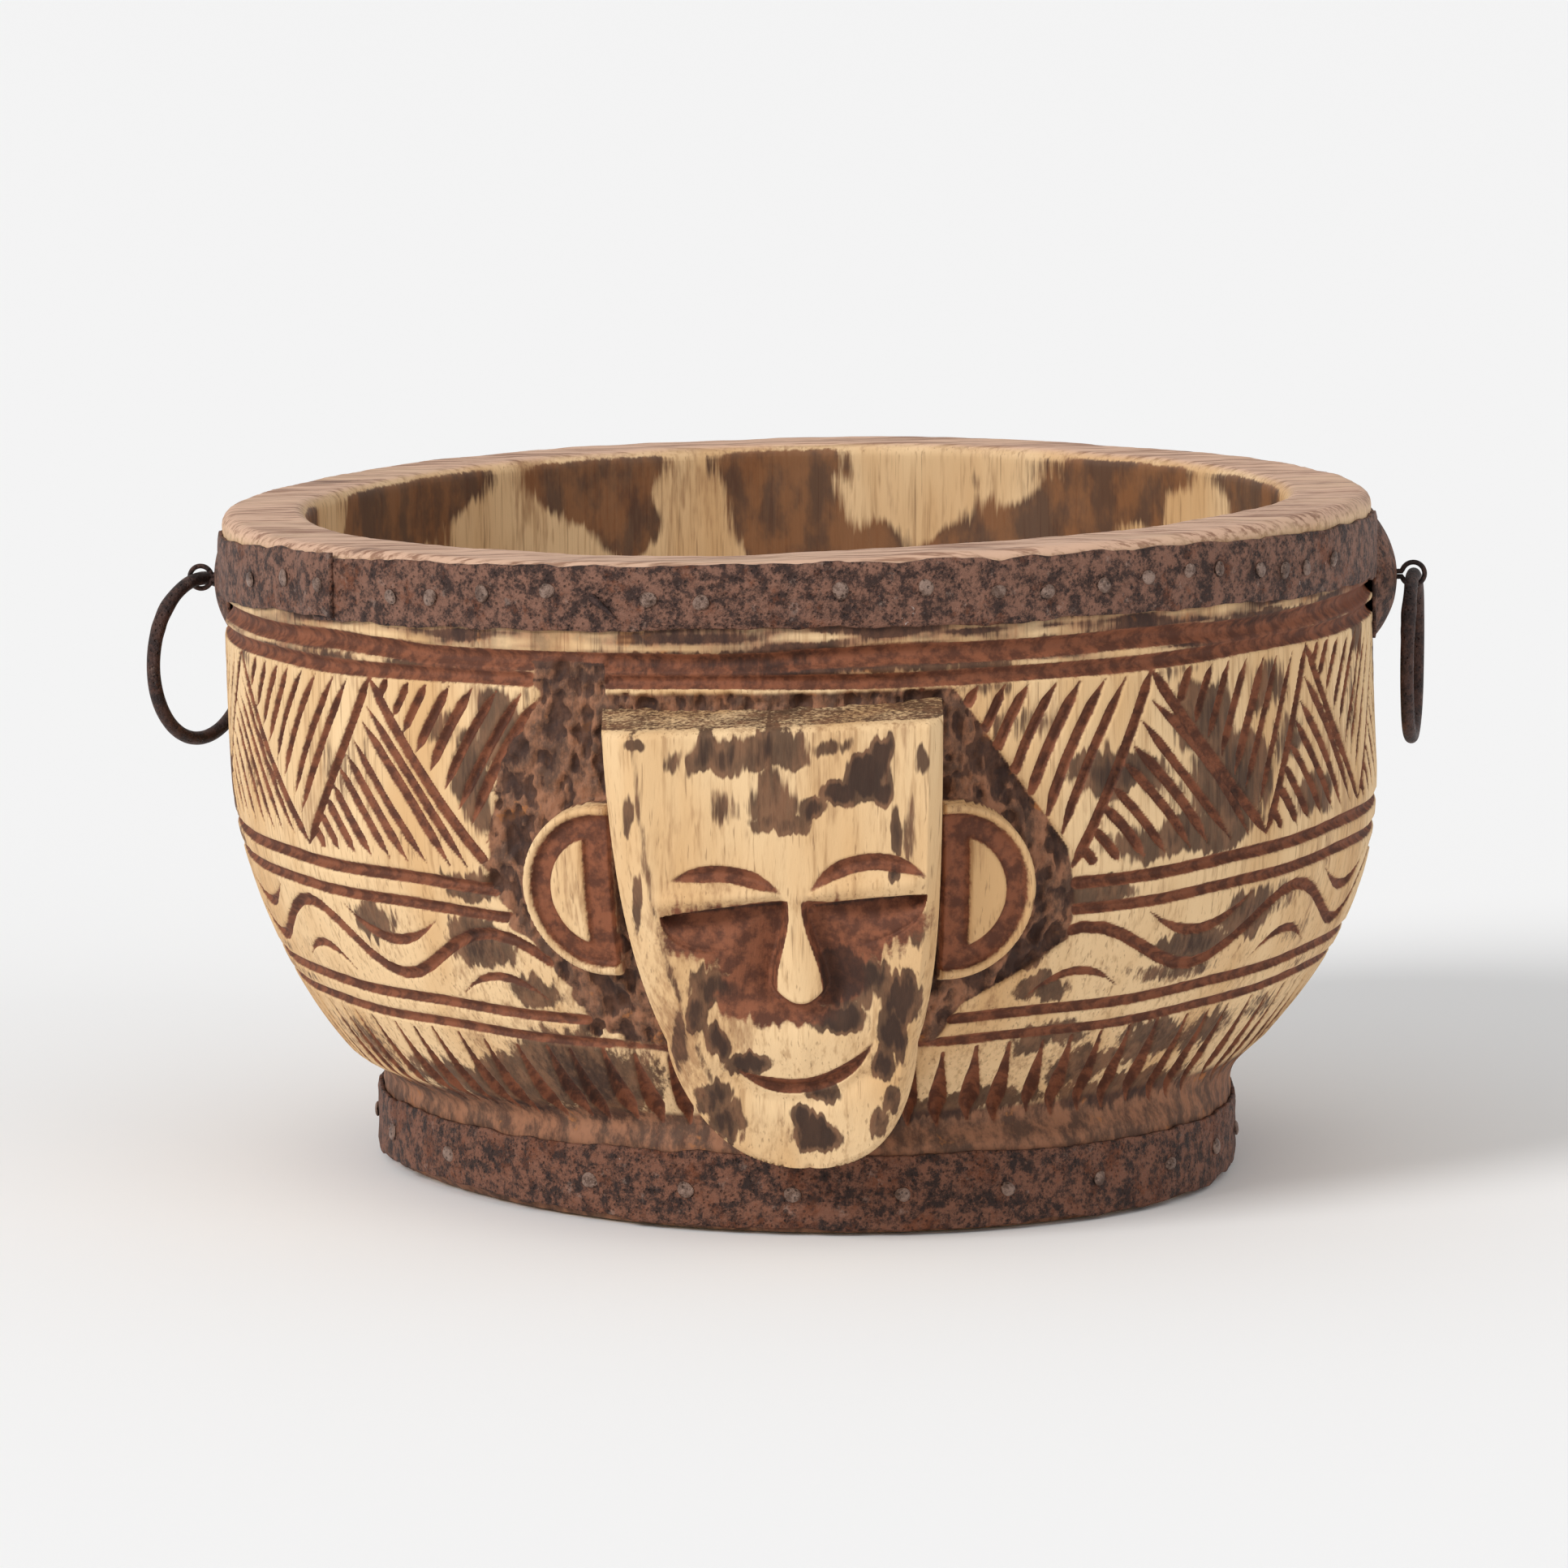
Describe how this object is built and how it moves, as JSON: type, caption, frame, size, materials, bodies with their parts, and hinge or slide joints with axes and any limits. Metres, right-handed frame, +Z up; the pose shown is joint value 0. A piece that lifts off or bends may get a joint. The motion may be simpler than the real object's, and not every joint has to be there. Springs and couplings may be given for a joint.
{
  "type": "carved wooden bowl",
  "caption": "Deep round wooden bowl with a carved mask relief, iron straps round rim and foot, and two hanging ring handles on domed bosses.",
  "frame": {"origin": "centre of the round foot, on the surface it stands on", "axes": "+Z up out of the bowl's mouth, -Y towards the carved mask, +X towards the right-hand ring as seen facing the mask"},
  "size_m": [0.4842, 0.4572, 0.2524],
  "materials": {
    "carved_wood": "dry, partly scorched",
    "strap_iron": "rusty",
    "handle_iron": "dark, worn",
    "nail_iron": "hammered"
  },
  "bodies": {
    "bowl": {"bowl_body": "carved_wood", "rim_strap_front": "strap_iron", "rim_strap_back": "strap_iron", "foot_strap": "strap_iron", "rim_nails_front": "nail_iron", "rim_nails_back": "nail_iron", "foot_nails": "nail_iron", "bent_nail": "nail_iron", "boss_left": "handle_iron", "boss_right": "handle_iron", "eye_left": "handle_iron", "eye_right": "handle_iron"},
    "ring_left": {"ring_left": "handle_iron"},
    "ring_right": {"ring_right": "handle_iron"}
  },
  "joints": [
    {"name": "ring_left_swing", "type": "hinge", "parent": "bowl", "child": "ring_left", "pos_m": [-0.22845, 0.04412, 0.21175], "axis": [0.5446, 0.8387, 0], "range_deg": [-6, 175]},
    {"name": "ring_right_swing", "type": "hinge", "parent": "bowl", "child": "ring_right", "pos_m": [0.22964, 0.00404, 0.21784], "axis": [-0.1392, -0.9903, 0], "range_deg": [-9, 190]}
  ]
}
